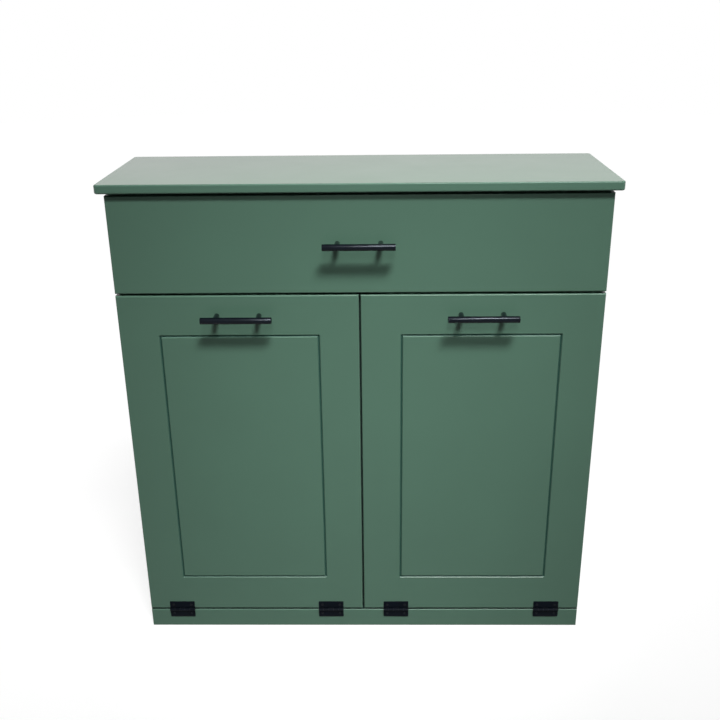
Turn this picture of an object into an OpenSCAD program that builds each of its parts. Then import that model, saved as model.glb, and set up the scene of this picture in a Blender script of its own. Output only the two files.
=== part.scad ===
// Free-standing tilt-out waste cabinet: one drawer over two doors that tip outward from their bottom edge.
// Millimetres. X to the right, Y to the back, Z up from the floor.
// The origin lies on the floor under the middle of the whole outline.
// Inside the modules Y is counted from the plane of the door faces, and from_face() moves it to the origin.

/* [Overall] */
// Height from the floor to the upper face of the top
total_h = 914; // [880:1:960]
// Width of the base rail, the drawer front and the pair of doors
front_w = 876; // [820:1:940]

/* [Top] */
// Depth of the top from its front edge to its back edge
top_d = 300; // [290:1:340]
// Thickness of the top
top_t = 16; // [14:0.5:25]
// How far the top stands out past the fronts on each side
top_side_over = 14; // [8:1:20]
// How far the top stands out in front of the fronts
top_front_over = 10; // [6:1:20]
// How far the top stands out behind the case
top_back_over = 4; // [0:1:12]
// Radius of the top's upper edges
top_edge_r = 2.5; // [1.5:0.5:6]
// Radius of the top's lower edges
top_under_r = 3; // [1:0.5:5]
// How much larger the radius of the top's corners in plan is than that of its edges
top_corner_r = 4; // [1:0.5:14]

/* [Fronts] */
// Thickness of the doors and the drawer front
front_t = 18; // [16:0.5:22]
// Radius of the eased front edges
front_edge_r = 2.2; // [1:0.1:3.5]
// Height of the base rail
base_h = 40; // [34:1:60]
// Height of the drawer front
drawer_front_h = 175; // [160:1:200]
// Gap between the two doors
door_gap = 3; // [2:0.5:5]
// Gap between the drawer front and the doors
drawer_gap = 4; // [3:0.5:6]
// Gap between the doors and the base rail
rail_gap = 3; // [2.5:0.1:4]
// Gap between the top and the drawer front
top_gap = 5; // [2:0.5:8]
// Distance of the groove's middle line from the sides of its door
groove_side = 74; // [50:1:110]
// Distance of the groove's middle line from the ends of its door
groove_end = 77; // [50:1:110]
// Width of the groove at the face
groove_w = 5.5; // [3:0.1:7]
// Depth of the groove
groove_depth = 3; // [2:0.1:5]

/* [Case] */
// Thickness of the sides, divider, bottom and rails
board_t = 18; // [15:0.5:19]
// Thickness of the back panel
back_t = 6; // [4:0.5:10]
// How far the case sides stand in from the edges of the fronts
case_inset = 3; // [0:0.5:10]
// Gap between the case's front edges and the back of the fronts
case_gap = 1; // [0.5:0.1:2]
// Depth of the rails under the top and under the drawer
rail_d = 70; // [50:1:90]

/* [Pulls] */
// Diameter of the pull's bar
pull_bar_d = 12; // [10:0.5:14]
// Length of the pull's bar
pull_bar_len = 127; // [110:1:160]
// Distance between the pull's posts
pull_post_span = 76.2; // [64:0.1:96]
// Diameter of the pull's posts
pull_post_d = 9.5; // [7:0.5:11]
// How far the pull stands out from the face
pull_reach = 35; // [30:1:42]
// Chamfer at the ends of the bar
pull_chamfer = 0.7; // [0.3:0.1:1.5]
// Distance of the drawer pull below the drawer front's upper edge
drawer_pull_drop = 85; // [60:1:100]
// Distance of a door pull below the door's upper edge
door_pull_drop = 37.5; // [26:0.5:60]
// Diameter of the machine screws that hold the pulls
pull_screw_d = 4; // [3:0.5:5]

/* [Hinges] */
// Length of a hinge along its pin
hinge_len = 50.8; // [40:0.1:64]
// Width of one leaf from the pin's middle line
leaf_w = 18; // [15:0.5:22]
// Thickness of a leaf
leaf_t = 1.4; // [1.2:0.1:1.8]
// Diameter of the hinge pin
pin_d = 2.5; // [2:0.1:3]
// Distance from the edge of a door to the middle of its hinge
hinge_inset = 65; // [45:1:100]
// Radius of a leaf's two free corners
leaf_corner_r = 1.5; // [0.5:0.5:4]
// Distance from the end of a leaf to its screw
leaf_screw_end = 7.4; // [6:0.1:10]
// Diameter of the small screws' shanks
wood_screw_d = 2.8; // [2:0.1:3.2]
// Diameter of the small screws' heads
wood_screw_head_d = 5.4; // [4.8:0.1:6]
// Length of the small screws
wood_screw_len = 14; // [10:1:15]

/* [Drawer] */
// Thickness of the drawer box's boards
box_t = 12; // [10:0.5:15]
// Thickness of the drawer bottom
box_bottom_t = 6; // [4:0.5:8]
// Height of the drawer bottom above the box's lower edge
box_bottom_lift = 8; // [5:1:15]
// Clear height under the drawer box
box_clear_below = 14; // [8:1:20]
// Clear height over the drawer box
box_clear_above = 30; // [15:1:40]
// Clear depth behind the drawer box and the bin carriers
rear_clear = 12; // [6:1:25]

/* [Slides] */
// Thickness of a slide, which is the gap at each side of the drawer box
slide_t = 12.7; // [12.5:0.1:14]
// Height of a slide
slide_h = 45; // [43:0.5:48]
// Thickness of the slide's sheet steel
slide_sheet = 1.2; // [1:0.1:1.3]
// Distance of the slide behind the case's front edge
slide_setback = 2; // [1:0.5:5]
// Clear depth behind the slide
slide_rear_clear = 9; // [4:1:20]
// Diameter of a ball
ball_d = 4; // [3.5:0.1:4.1]
// Number of balls in each row
ball_count = 6; // [4:1:7]
// Distance between the balls of a row
ball_pitch = 16; // [10:1:18]

/* [Tilt] */
// Angle by which a door tips out
tilt_max = 30; // [20:1:35]
// Thickness of the carrier's boards
carrier_t = 12; // [9:0.5:15]
// Clear width at each side of the carrier
carrier_side_clear = 12; // [11:0.5:20]
// Height of the carrier's floor above the door's lower edge
carrier_lift = 2; // [1:0.5:8]
// Height of the carrier's arms at the door
arm_front_h = 355; // [300:5:450]
// Height of the carrier's arms at the back
arm_back_h = 295; // [240:5:330]
// Height of the carrier's back rail
carrier_rail_h = 70; // [50:1:90]
// Thickness of a stop cleat
cleat_t = 10; // [8:0.5:10]
// Height of a stop cleat
cleat_h = 80; // [60:1:120]
// Depth of a stop cleat
cleat_d = 26; // [15:1:30]
// Width of a magnetic catch
catch_w = 40; // [30:1:50]
// Depth of a magnetic catch
catch_d = 15; // [10:1:25]
// Height of a magnetic catch
catch_h = 13; // [10:1:16]
// Thickness of a strike plate
strike_t = 1; // [0.8:0.1:1.5]

/* [Hidden] */
$fn = 48;

// Colours
green = [0.33, 0.44, 0.38];
inside_green = [0.36, 0.47, 0.41];
black = [0.06, 0.06, 0.06];
birch = [0.83, 0.70, 0.50];
zinc = [0.72, 0.73, 0.74];
brown_plastic = [0.30, 0.22, 0.17];

// How far the groove's cutter stands out of the face, as a share of its depth, and its spread there
v_rise = 0.25;
v_spread = 1 + v_rise;

// The cross recess of a screw, as shares of the head's diameter: its span, its slot and its depth
recess_share = 0.5;
slot_share = 0.12;
recess_depth_share = 0.14;

// Small clearances
play = 0.05;
seat_gap = 0.3;
screw_play = 0.1;
cut = 1;

// Places along Z
top_z0 = total_h - top_t;
drawer_z1 = top_z0 - top_gap;
drawer_z0 = drawer_z1 - drawer_front_h;
door_z1 = drawer_z0 - drawer_gap;
door_z0 = base_h + rail_gap;
door_h = door_z1 - door_z0;
rail_top_z = drawer_z0 - drawer_gap / 2;

// Places along Y, from the plane of the door faces
face_y = -(top_d - top_front_over - pull_reach) / 2;
case_y0 = front_t + case_gap;
case_y1 = top_d - top_front_over - top_back_over;
case_back_y = case_y1 - back_t;
load_back_y = case_back_y - rear_clear;

// Places along X
half_w = front_w / 2;
top_w = front_w + 2 * top_side_over;
top_plan_r = top_corner_r + max(top_edge_r, top_under_r);
case_half = half_w - case_inset;
wall_x = case_half - board_t;
door_w = (front_w - door_gap) / 2;
door_x = (front_w + door_gap) / 4;
bay_x = (wall_x + board_t / 2) / 2;
bay_half = (wall_x - board_t / 2) / 2;
carrier_half = bay_half - carrier_side_clear;

// Hinge line
barrel_r = pin_d / 2 + play + leaf_t;
pin_y = -barrel_r - play;
pin_z = base_h + rail_gap / 2;
knuckles = 5;
knuckle_gap = 0.1;
knuckle_step = hinge_len / knuckles;
leaf_clear = 0.4;
leaf_y1 = -pin_y;
leaf_y0 = leaf_y1 - leaf_t;
leaf_screw_z = (leaf_w + barrel_r) / 2;
leaf_screw_x = hinge_len / 2 - leaf_screw_end;
pin_end = 0.5;
hinge_xs = [hinge_inset - door_w / 2, door_w / 2 - hinge_inset];

// Drawer box and slides
box_half = wall_x - slide_t;
box_z0 = rail_top_z + box_clear_below;
box_z1 = top_z0 - board_t - box_clear_above;
box_groove = box_t / 2;
slide_z = (box_z0 + box_z1) / 2;
slide_y0 = case_y0 + slide_setback;
slide_len = case_back_y - slide_rear_clear - slide_y0;
race_gap = 0.1;
outer_race_z = slide_h / 2 - slide_sheet;
outer_ball_z = outer_race_z - race_gap - ball_d / 2;
middle_z = outer_ball_z - ball_d / 2 - race_gap;
inner_ball_z = middle_z - slide_sheet - race_gap - ball_d / 2;
inner_z = inner_ball_z - ball_d / 2 - race_gap;
cage_t = 0.6;
cage_arm_t = 1;
cage_gap = 0.2;
middle_s = slide_sheet + cage_t + 2 * cage_gap;
inner_cage_s = middle_s + slide_sheet + cage_gap;
outer_ball_shift = 0.35;
ball_row_step = 1.6;
outer_ball_s = slide_t / 2 - outer_ball_shift;
inner_ball_s = outer_ball_s + ball_row_step;
lip = 0.8;
lip_rise = 0.9;
outer_lip_s = outer_ball_s + ball_d / 2 + cage_gap;
inner_lip_s = inner_ball_s + ball_d / 2 + race_gap;
inner_flange_s = inner_cage_s + cage_t + 3 * cage_gap;
cage_reach = ball_d / 2 + 3 * cage_gap;
cage_len = ball_pitch * ball_count + ball_d;
slide_screw_end = 35;
slide_screw_ys = [slide_screw_end, slide_len / 2, slide_len - slide_screw_end];
slide_screw_cover = 3;
slide_screw_len = slide_sheet + box_t - slide_screw_cover;
lever_len = 56;
lever_h = 7;
lever_t = 1.6;
lever_boss_d = 4;
lever_pad_d = 9.8;
lever_screw_clear = 8;
lever_s = slide_t - slide_sheet - cage_gap;
lever_y = slide_screw_end + lever_screw_clear + lever_len / 2;

// Bin carriers and their stops
carrier_z0 = door_z0 + carrier_lift;
carrier_rail_y0 = load_back_y - carrier_t;
carrier_rail_z1 = carrier_z0 + arm_back_h;
ear_clear = 3;
ear_half = bay_half - ear_clear;
ear_y = carrier_rail_y0 - pin_y;
ear_z = carrier_rail_z1 - pin_z;
cleat_y1 = pin_y + ear_y * cos(tilt_max) - ear_z * sin(tilt_max) - seat_gap;
cleat_mid_z = pin_z + ear_y * sin(tilt_max) + ear_z * cos(tilt_max);
catch_z0 = rail_top_z - board_t - catch_h;
catch_y0 = front_t + strike_t + seat_gap;
catch_slot = 1.6;
catch_slot_half = catch_w / 3;
catch_slot_share = 0.22;
catch_slot_z = catch_h * catch_slot_share;
strike_edge = 2;
strike_w = catch_w - 2 * strike_edge;
strike_h = catch_h - strike_edge;
arm_flat = 34;
arm_flat_y = front_t + arm_flat;
arm_steps = 16;

// Screws of the top and of the pulls
top_screw_d = 4;
top_screw_head_d = 8;
top_screw_len = board_t + top_t / 2;
top_screw_inset = wall_x / 4;
top_screw_xs = [top_screw_inset - wall_x, 0, wall_x - top_screw_inset];
pull_hole_d = pull_screw_d + 2 * screw_play;
pull_head_d = 2 * pull_screw_d;
pull_head_t = 2.4;
pull_thread_len = 12;
drawer_pull_z = drawer_z1 - drawer_pull_drop;
door_pull_z = door_z1 - door_pull_drop;

// Moves a shape from the plane of the door faces to the origin
module from_face() translate([0, face_y, 0]) children();

// A box between two corners
module block(low, high) translate(low) cube(high - low);

// A shape and its mirror image on the other side of the plane x = 0
module both_sides() {
    children();
    mirror([1, 0, 0]) children();
}

// A flat outline whose two corners on the line y = 0 are rounded
module eased_outline(w, t, r) {
    translate([-w / 2, r]) square([w, t - r]);
    translate([r - w / 2, 0]) square([w - 2 * r, r]);
    for (x = [r - w / 2, w / 2 - r]) translate([x, r]) circle(r);
}

// A panel that stands on z = 0 with its face at y = 0 and its four front edges rounded
module eased_panel(w, h, t) {
    intersection() {
        linear_extrude(h) eased_outline(w, t, front_edge_r);
        translate([0, 0, h / 2]) rotate([90, 0, 90]) linear_extrude(w + 2 * cut, center = true)
            mirror([1, -1]) eased_outline(h, t, front_edge_r);
    }
}

// The cutter of a routed V: a straight run along X, with its point down in +Y
module v_run(length) {
    rise = groove_depth * v_rise;
    wide = groove_w / 2 * v_spread;
    rotate([90, 0, 90]) linear_extrude(length, center = true)
        polygon([[-rise, -wide], [groove_depth, 0], [-rise, wide]]);
}

// The cutter where a run of the V ends: a cone like the tip of the router bit
module v_tip() {
    rotate([-90, 0, 0]) translate([0, 0, -groove_depth * v_rise])
        cylinder(h = groove_depth * v_spread, r1 = groove_w / 2 * v_spread, r2 = 0);
}

// The routed rectangle of a door
module groove_rectangle(w, h) {
    for (z = [0, h]) translate([0, 0, z]) v_run(w);
    for (x = [-w / 2, w / 2]) translate([x, 0, h / 2]) rotate([0, 90, 0]) v_run(h);
    for (x = [-w / 2, w / 2], z = [0, h]) translate([x, 0, z]) v_tip();
}

// A straight hole or pin along +Y that starts at the plane y
module rod_y(x, y, z, d, length) translate([x, y, z]) rotate([-90, 0, 0]) cylinder(h = length, d = d);

// A countersunk screw along +Z with its head's face at z = 0 and a cross recess
module flat_screw(d, head_d, length) {
    recess = head_d * recess_share;
    slot = head_d * slot_share;
    deep = head_d * recess_depth_share;
    difference() {
        union() {
            cylinder(h = (head_d - d) / 2, d1 = head_d, d2 = d);
            cylinder(h = length, d = d);
        }
        for (turn = [0, 90]) rotate(turn)
            translate([-recess / 2, -slot / 2, -cut]) cube([recess, slot, deep + cut]);
    }
}

// The hole that a countersunk screw sits in
module flat_screw_hole(d, head_d, length) {
    translate([0, 0, -cut]) cylinder(h = length + cut + 2 * screw_play, d = d + 2 * screw_play);
    translate([0, 0, -screw_play]) cylinder(h = (head_d - d) / 2 + screw_play,
        d1 = head_d + 3 * screw_play, d2 = d + screw_play);
}

// The top's outline seen from the front or the side, with a radius of its own above and below
module slab_outline(w) {
    translate([-w / 2, top_under_r]) square([w, top_t - top_under_r - top_edge_r]);
    translate([top_edge_r - w / 2, top_under_r]) square([w - 2 * top_edge_r, top_t - top_under_r]);
    translate([top_under_r - w / 2, 0]) square([w - 2 * top_under_r, top_under_r]);
    for (x = [top_edge_r - w / 2, w / 2 - top_edge_r]) translate([x, top_t - top_edge_r]) circle(top_edge_r);
    for (x = [top_under_r - w / 2, w / 2 - top_under_r]) translate([x, top_under_r]) circle(top_under_r);
}

// A corner of the top: half of the outline turned about an upright axis
module slab_corner() rotate_extrude() intersection() {
    slab_outline(2 * top_plan_r);
    square([top_plan_r, top_t]);
}

// The whole top on z = 0: a run each way and four turned corners, so the rounded edges go all the way round
module slab_shape(w, d) {
    rotate([90, 0, 0]) linear_extrude(d - 2 * top_plan_r, center = true) slab_outline(w);
    rotate([90, 0, 90]) linear_extrude(w - 2 * top_plan_r, center = true) slab_outline(d);
    for (x = [top_plan_r - w / 2, w / 2 - top_plan_r], y = [top_plan_r - d / 2, d / 2 - top_plan_r])
        translate([x, y, 0]) slab_corner();
}

// Draws its children at each screw of the top, with +Z up into the top
module at_top_screws() {
    for (y = [case_y0 + rail_d / 2, case_back_y - rail_d / 2], x = top_screw_xs)
        translate([x, y, top_z0 - board_t]) children();
}

module top_screw_holes() at_top_screws() flat_screw_hole(top_screw_d, top_screw_head_d, top_screw_len);

module top_slab() color(green) from_face() difference() {
    translate([0, top_d / 2 - top_front_over, top_z0]) slab_shape(top_w, top_d);
    top_screw_holes();
}

module top_slab_screws() color(zinc) from_face()
    at_top_screws() flat_screw(top_screw_d, top_screw_head_d, top_screw_len);

// Case

module side_panel(side) color(inside_green) from_face() difference() {
    mirror_to(side) block([wall_x, case_y0, 0], [case_half, case_y1, top_z0]);
    slide_case_screw_holes(side);
}

module center_divider() color(inside_green) from_face()
    block([-board_t / 2, case_y0, base_h], [board_t / 2, case_back_y, rail_top_z - board_t]);

module bottom_panel() color(inside_green) from_face()
    block([-wall_x, case_y0, base_h - board_t], [wall_x, case_back_y, base_h]);

module back_panel() color(inside_green) from_face()
    block([-wall_x, case_back_y, base_h - board_t], [wall_x, case_y1, top_z0]);

module base_rail() color(green) from_face() difference() {
    eased_panel(front_w, base_h, case_y0);
    for (side = [-1, 1]) at_leaf_screws(side, -1) leaf_screw_hole();
}

// A rail across the case whose upper face is at z
module rail_at(y, z) block([-wall_x, y, z - board_t], [wall_x, y + rail_d, z]);

module drawer_rail_front() color(inside_green) from_face() rail_at(case_y0, rail_top_z);

module drawer_rail_rear() color(inside_green) from_face() rail_at(case_back_y - rail_d, rail_top_z);

module top_rail_front() color(inside_green) from_face() difference() {
    rail_at(case_y0, top_z0);
    top_screw_holes();
}

module top_rail_rear() color(inside_green) from_face() difference() {
    rail_at(case_back_y - rail_d, top_z0);
    top_screw_holes();
}

module stop_cleats() color(birch) from_face()
    for (side = [-1, 1]) translate([side * bay_x, 0, 0]) both_sides()
        block([bay_half - cleat_t, cleat_y1 - cleat_d, cleat_mid_z - cleat_h / 2],
            [bay_half, cleat_y1, cleat_mid_z + cleat_h / 2]);

module magnetic_catches() color(brown_plastic) from_face()
    for (side = [-1, 1]) translate([side * bay_x, catch_y0, catch_z0]) difference() {
        block([-catch_w / 2, 0, 0], [catch_w / 2, catch_d, catch_h]);
        for (z = [catch_h / 2 - catch_slot_z, catch_h / 2 + catch_slot_z])
            block([-catch_slot_half, -cut, z - catch_slot / 2],
                [catch_slot_half, catch_slot, z + catch_slot / 2]);
    }

// Hinges

// Draws its children at the middle of each hinge of one door, on the pin's middle line
module at_hinges(side) for (x = hinge_xs) translate([side * door_x + x, pin_y, pin_z]) children();

// Draws its children at each screw of the upper (+1) or lower (-1) leaves, with +Z into the wood
module at_leaf_screws(side, way)
    at_hinges(side) for (x = [-leaf_screw_x, leaf_screw_x])
        translate([x, leaf_y0, way * leaf_screw_z]) rotate([-90, 0, 0]) children();

module leaf_screw() flat_screw(wood_screw_d, wood_screw_head_d, wood_screw_len);

module leaf_screw_hole() flat_screw_hole(wood_screw_d, wood_screw_head_d, wood_screw_len);

// One knuckle of a leaf: the rolled barrel and the strip that joins it to the plate
module knuckle(index) {
    x0 = index * knuckle_step - hinge_len / 2 + (index > 0 ? knuckle_gap / 2 : 0);
    x1 = (index + 1) * knuckle_step - hinge_len / 2 - (index < knuckles - 1 ? knuckle_gap / 2 : 0);
    block([x0, leaf_y0, 0], [x1, leaf_y1, barrel_r + leaf_clear]);
    translate([x0, 0, 0]) rotate([0, 90, 0]) cylinder(h = x1 - x0, r = barrel_r);
}

// The flat plate of a leaf, with its two free corners rounded
module leaf_plate() translate([0, leaf_y1, leaf_w]) rotate([90, 0, 0]) linear_extrude(leaf_t)
    mirror([0, 1]) eased_outline(hinge_len, leaf_w - barrel_r - leaf_clear, leaf_corner_r);

// A leaf that rises from the pin's middle line, with the knuckles of the given indices
module leaf(own) difference() {
    union() {
        leaf_plate();
        for (index = own) knuckle(index);
    }
    rotate([0, 90, 0]) cylinder(h = hinge_len + 2 * cut, d = pin_d + 2 * play, center = true);
    for (x = [-leaf_screw_x, leaf_screw_x])
        translate([x, leaf_y0, leaf_screw_z]) rotate([-90, 0, 0]) leaf_screw_hole();
}

module hinge_rail_leaves(side) color(black) from_face() at_hinges(side) mirror([0, 0, 1]) leaf([0, 2, 4]);

module hinge_door_leaves(side) color(black) from_face() at_hinges(side) leaf([1, 3]);

module hinge_pins() color(black) from_face() for (side = [-1, 1]) at_hinges(side)
    rotate([0, 90, 0]) cylinder(h = hinge_len + 2 * pin_end, d = pin_d, center = true);

module hinge_rail_screws() color(black) from_face() for (side = [-1, 1])
    at_leaf_screws(side, -1) leaf_screw();

// Pulls

// A pull's bar with its middle line at the origin
module pull_bar_shape() rotate([0, 90, 0]) {
    straight = pull_bar_len / 2 - pull_chamfer;
    cylinder(h = 2 * straight, d = pull_bar_d, center = true);
    for (turn = [0, 180]) rotate([turn, 0, 0]) translate([0, 0, straight])
        cylinder(h = pull_chamfer, d1 = pull_bar_d, d2 = pull_bar_d - 2 * pull_chamfer);
}

module pull_bar(x, z) color(black) from_face()
    translate([x, pull_bar_d / 2 - pull_reach, z]) pull_bar_shape();

module pull_posts(x, z) color(black) from_face()
    translate([x, 0, z]) difference() {
        for (post_x = [-pull_post_span / 2, pull_post_span / 2])
            rod_y(post_x, pull_bar_d / 2 - pull_reach, 0, pull_post_d, pull_reach - pull_bar_d / 2);
        translate([0, pull_bar_d / 2 - pull_reach, 0]) pull_bar_shape();
        for (post_x = [-pull_post_span / 2, pull_post_span / 2])
            rod_y(post_x, -pull_thread_len - cut, 0, pull_hole_d, pull_thread_len + 2 * cut);
    }

// The machine screws of a pull, through boards of the total thickness given
module pull_screws(x, z, boards) for (post_x = [-pull_post_span / 2, pull_post_span / 2]) {
    rod_y(x + post_x, -pull_thread_len, z, pull_screw_d, pull_thread_len + boards);
    rod_y(x + post_x, boards, z, pull_head_d, pull_head_t);
}

// The clearance holes of a pull's screws
module pull_screw_holes(x, z) for (post_x = [-pull_post_span / 2, pull_post_span / 2])
    rod_y(x + post_x, -cut, z, pull_hole_d, front_t + box_t + 2 * cut);

// Drawer

module drawer_bottom_shape() block([box_groove - box_half, front_t + box_groove, box_z0 + box_bottom_lift],
    [box_half - box_groove, load_back_y - box_groove, box_z0 + box_bottom_lift + box_bottom_t]);

module drawer_front() color(green) from_face() difference() {
    translate([0, 0, drawer_z0]) eased_panel(front_w, drawer_front_h, front_t);
    pull_screw_holes(0, drawer_pull_z);
}

module drawer_box_front() color(birch) from_face() difference() {
    block([box_t - box_half, front_t, box_z0], [box_half - box_t, front_t + box_t, box_z1]);
    drawer_bottom_shape();
    pull_screw_holes(0, drawer_pull_z);
}

module drawer_box_back() color(birch) from_face() difference() {
    block([box_t - box_half, load_back_y - box_t, box_z0], [box_half - box_t, load_back_y, box_z1]);
    drawer_bottom_shape();
}

module drawer_side(side) color(birch) from_face() difference() {
    mirror_to(side) block([box_half - box_t, front_t, box_z0], [box_half, load_back_y, box_z1]);
    drawer_bottom_shape();
    slide_drawer_screw_holes(side);
}

module drawer_bottom() color(birch) from_face() drawer_bottom_shape();

module drawer_screws() color(zinc) from_face() {
    pull_screws(0, drawer_pull_z, front_t + box_t);
    for (side = [-1, 1]) at_slide_drawer_screws(side)
        flat_screw(wood_screw_d, wood_screw_head_d, slide_screw_len);
}

// Slides: in their own frame X runs from the case wall to the drawer, Y along the slide and Z up

module mirror_to(side) {
    if (side > 0) children();
    else mirror([1, 0, 0]) children();
}

module at_slide(side) mirror_to(side) translate([wall_x, slide_y0, slide_z]) mirror([1, 0, 0]) children();

// Extrudes an outline in X and Z along the slide
module along_slide(y, length) translate([0, y + length, 0]) rotate([90, 0, 0])
    linear_extrude(length) children();

module above_and_below() {
    children();
    mirror([0, 1]) children();
}

// A rectangle between two corners
module patch(low, high) translate(low) square(high - low);

module at_slide_case_screws(side) at_slide(side) for (y = slide_screw_ys)
    translate([slide_sheet, y, 0]) rotate([0, -90, 0]) children();

module slide_case_screw_holes(side) at_slide_case_screws(side)
    flat_screw_hole(wood_screw_d, wood_screw_head_d, wood_screw_len);

module slide_case_screws() color(zinc) from_face() for (side = [-1, 1]) at_slide_case_screws(side)
    flat_screw(wood_screw_d, wood_screw_head_d, wood_screw_len);

module at_slide_drawer_screws(side) at_slide(side) for (y = slide_screw_ys)
    translate([slide_t - slide_sheet, y, 0]) rotate([0, 90, 0]) children();

module slide_drawer_screw_holes(side) at_slide_drawer_screws(side)
    flat_screw_hole(wood_screw_d, wood_screw_head_d, slide_screw_len);

module slide_case_member(side) color(zinc) from_face() difference() {
    at_slide(side) along_slide(0, slide_len) {
        patch([0, -slide_h / 2], [slide_sheet, slide_h / 2]);
        above_and_below() {
            patch([0, outer_race_z], [outer_lip_s + lip, slide_h / 2]);
            patch([outer_lip_s, outer_race_z - lip_rise], [outer_lip_s + lip, slide_h / 2]);
        }
    }
    slide_case_screw_holes(side);
}

module slide_middle_member(side) color(zinc) from_face() at_slide(side) along_slide(0, slide_len) {
    patch([middle_s, -middle_z], [middle_s + slide_sheet, middle_z]);
    above_and_below() {
        patch([middle_s, middle_z - slide_sheet], [inner_lip_s + lip, middle_z]);
        patch([outer_lip_s, middle_z - slide_sheet], [outer_lip_s + lip, middle_z + lip_rise]);
        patch([inner_lip_s, middle_z - slide_sheet - lip_rise], [inner_lip_s + lip, middle_z]);
    }
}

module slide_drawer_member(side) color(zinc) from_face() difference() {
    at_slide(side) {
        along_slide(0, slide_len) {
            patch([slide_t - slide_sheet, -inner_z], [slide_t, inner_z]);
            above_and_below() {
                patch([inner_flange_s, inner_z - slide_sheet], [slide_t, inner_z]);
                patch([inner_flange_s, inner_z - slide_sheet], [inner_flange_s + lip, inner_z + lip_rise]);
            }
        }
        translate([lever_s - lever_t, lever_y, 0]) rotate([0, 90, 0])
            cylinder(h = slide_t - slide_sheet / 2 - lever_s + lever_t, d = lever_boss_d);
    }
    slide_drawer_screw_holes(side);
}

// A ball cage: a channel whose arms carry one row of balls above and one below
module ball_cage(side, web_s, ball_s, ball_z) color(zinc) from_face() at_slide(side) {
    ball_ys = [for (i = [0 : ball_count - 1]) slide_len / 2 + (i - (ball_count - 1) / 2) * ball_pitch];
    arm_z = ball_z + cage_arm_t / 2;
    difference() {
        along_slide((slide_len - cage_len) / 2, cage_len) {
            patch([web_s, -arm_z], [web_s + cage_t, arm_z]);
            above_and_below() patch([web_s, arm_z - cage_arm_t], [ball_s + cage_reach, arm_z]);
        }
        for (y = ball_ys) translate([ball_s, y, 0])
            cylinder(h = 2 * arm_z + 2 * cut, d = ball_d + 2 * race_gap, center = true);
    }
    for (y = ball_ys, way = [-1, 1]) translate([ball_s, y, way * ball_z]) sphere(d = ball_d);
}

module outer_ball_cage(side) ball_cage(side, slide_sheet + cage_gap, outer_ball_s, outer_ball_z);

module inner_ball_cage(side) ball_cage(side, inner_cage_s, inner_ball_s, inner_ball_z);

// The lever that frees the drawer member: a flat arm with a finger pad, on a boss of that member
module release_lever(side) color(black) from_face() at_slide(side)
    translate([lever_s, lever_y, 0]) rotate([0, -90, 0]) linear_extrude(lever_t) difference() {
        union() {
            square([lever_h, lever_len - lever_h], center = true);
            for (y = [-1, 1]) translate([0, y * (lever_len - lever_h) / 2]) circle(d = lever_h);
            translate([0, -(lever_len - lever_h) / 2]) circle(d = lever_pad_d);
        }
        circle(d = lever_boss_d + 2 * play);
    }

// Doors and bin carriers

module door_panel(side) color(green) from_face() difference() {
    translate([side * door_x, 0, door_z0]) difference() {
        eased_panel(door_w, door_h, front_t);
        translate([0, 0, groove_end]) groove_rectangle(door_w - 2 * groove_side, door_h - 2 * groove_end);
    }
    pull_screw_holes(side * door_x, door_pull_z);
    at_leaf_screws(side, 1) leaf_screw_hole();
}

module door_screws(side) color(black) from_face() {
    pull_screws(side * door_x, door_pull_z, front_t);
    at_leaf_screws(side, 1) leaf_screw();
}

module carrier_floor(side) color(birch) from_face() translate([side * bay_x, 0, 0])
    block([carrier_t - carrier_half, front_t, carrier_z0],
        [carrier_half - carrier_t, load_back_y, carrier_z0 + carrier_t]);

// The outline of a carrier arm in Y and Z: high at the door, swept down to the notch of the back rail
module carrier_arm_outline() {
    sweep = [for (i = [0 : arm_steps]) let (t = i / arm_steps)
        [carrier_rail_y0 + (arm_flat_y - carrier_rail_y0) * t,
            carrier_rail_z1 + (arm_front_h - arm_back_h) * (1 - cos(180 * t)) / 2]];
    polygon(concat(
        [[front_t, carrier_z0], [load_back_y, carrier_z0], [load_back_y, carrier_rail_z1 - carrier_rail_h],
            [carrier_rail_y0, carrier_rail_z1 - carrier_rail_h]],
        sweep,
        [[front_t, carrier_z0 + arm_front_h]]));
}

module carrier_arms(side) color(birch) from_face() translate([side * bay_x, 0, 0]) both_sides()
    translate([carrier_half - carrier_t, 0, 0]) rotate([90, 0, 90]) linear_extrude(carrier_t)
        carrier_arm_outline();

module carrier_back_rail(side) color(birch) from_face() translate([side * bay_x, 0, 0])
    block([-ear_half, carrier_rail_y0, carrier_rail_z1 - carrier_rail_h],
        [ear_half, load_back_y, carrier_rail_z1]);

module strike_plate(side) color(zinc) from_face() translate([side * bay_x, 0, catch_z0 + catch_h / 2])
    block([-strike_w / 2, front_t, -strike_h / 2], [strike_w / 2, front_t + strike_t, strike_h / 2]);

top_slab();
side_panel(-1);  // left_side_panel
side_panel(1);  // right_side_panel
center_divider();
bottom_panel();
back_panel();
base_rail();
drawer_rail_front();
drawer_rail_rear();
top_rail_front();
top_rail_rear();
stop_cleats();
magnetic_catches();
hinge_rail_leaves(-1);  // left_hinge_rail_leaves
hinge_rail_leaves(1);  // right_hinge_rail_leaves
hinge_pins();
hinge_rail_screws();
slide_case_member(-1);  // left_slide_case_member
slide_case_member(1);  // right_slide_case_member
slide_case_screws();
top_slab_screws();
drawer_front();
drawer_box_front();
drawer_box_back();
drawer_side(-1);  // drawer_left_side
drawer_side(1);  // drawer_right_side
drawer_bottom();
pull_bar(0, drawer_pull_z);  // drawer_pull_bar
pull_posts(0, drawer_pull_z);  // drawer_pull_posts
slide_drawer_member(-1);  // left_slide_drawer_member
slide_drawer_member(1);  // right_slide_drawer_member
drawer_screws();
slide_middle_member(-1);  // left_slide_middle_member
slide_middle_member(1);  // right_slide_middle_member
outer_ball_cage(-1);  // left_outer_ball_cage
outer_ball_cage(1);  // right_outer_ball_cage
inner_ball_cage(-1);  // left_inner_ball_cage
inner_ball_cage(1);  // right_inner_ball_cage
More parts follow.
